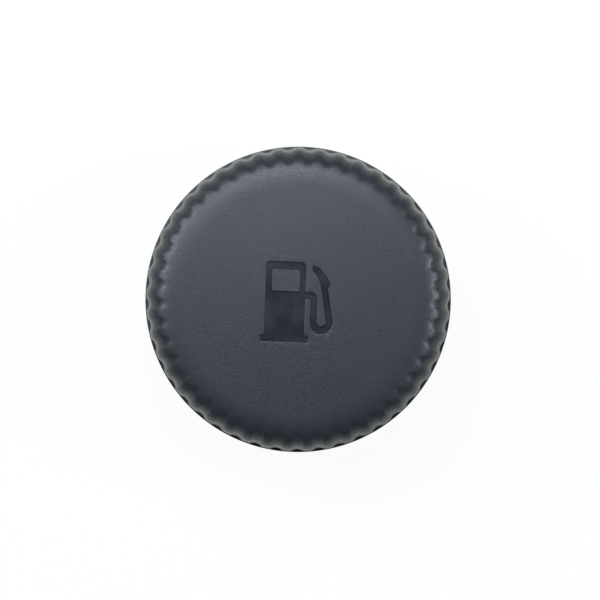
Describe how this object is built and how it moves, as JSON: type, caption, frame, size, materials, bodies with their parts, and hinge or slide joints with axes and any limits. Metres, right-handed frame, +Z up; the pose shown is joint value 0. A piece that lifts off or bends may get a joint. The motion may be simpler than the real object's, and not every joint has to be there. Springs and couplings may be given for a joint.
{
  "type": "fuel filler cap",
  "caption": "Round fuel filler cap: fluted knob with a recessed pump symbol that turns on a vented bayonet closure through a ratchet.",
  "frame": {"origin": "centre of the barrel's foot, the face that the cap stands on", "axes": "+Z up through the knob, away from the tank; +X to the symbol's right and through a bayonet lug; +Y to the symbol's top"},
  "size_m": [0.081, 0.081, 0.0415],
  "materials": {
    "knob_plastic": "moulded with a fine grain",
    "closure_plastic": "smooth moulded",
    "ratchet_plastic": "smooth moulded, natural colour",
    "washer_plastic": "smooth stamped sheet",
    "seal_rubber": "moulded rubber",
    "spring_steel": "bright drawn spring steel",
    "plated_steel": "zinc plated"
  },
  "bodies": {
    "closure": {"closure_body": "closure_plastic", "neck_seal": "seal_rubber", "ratchet_ring": "ratchet_plastic", "ratchet_clip": "spring_steel", "thrust_washer": "washer_plastic", "seat_plate": "closure_plastic", "seat_seal": "seal_rubber", "seat_circlip": "spring_steel", "spring_cup": "plated_steel", "pressure_spring": "spring_steel", "bottom_guard": "closure_plastic"},
    "knob_unit": {"knob": "knob_plastic", "pawl_ring": "ratchet_plastic", "retaining_ring": "spring_steel"},
    "pressure_valve": {"pressure_plate": "plated_steel", "pressure_gasket": "seal_rubber", "vacuum_spring": "spring_steel"},
    "vacuum_valve": {"vacuum_poppet": "ratchet_plastic", "vacuum_keeper": "plated_steel"}
  },
  "joints": [
    {"name": "knob_turn", "type": "hinge", "parent": "closure", "child": "knob_unit", "pos_m": [0, 0, 0.03], "axis": [0, 0, 1], "continuous": true},
    {"name": "pressure_valve_lift", "type": "slide", "parent": "closure", "child": "pressure_valve", "axis": [0, 0, 1], "range_m": [0, 0.002], "stiffness_N_per_m": 500, "springref_m": -0.01, "deforming": ["pressure_spring"]},
    {"name": "vacuum_valve_drop", "type": "slide", "parent": "pressure_valve", "child": "vacuum_valve", "axis": [0, 0, -1], "range_m": [0, 0.0015], "stiffness_N_per_m": 60, "springref_m": -0.004, "deforming": ["vacuum_spring"]}
  ]
}
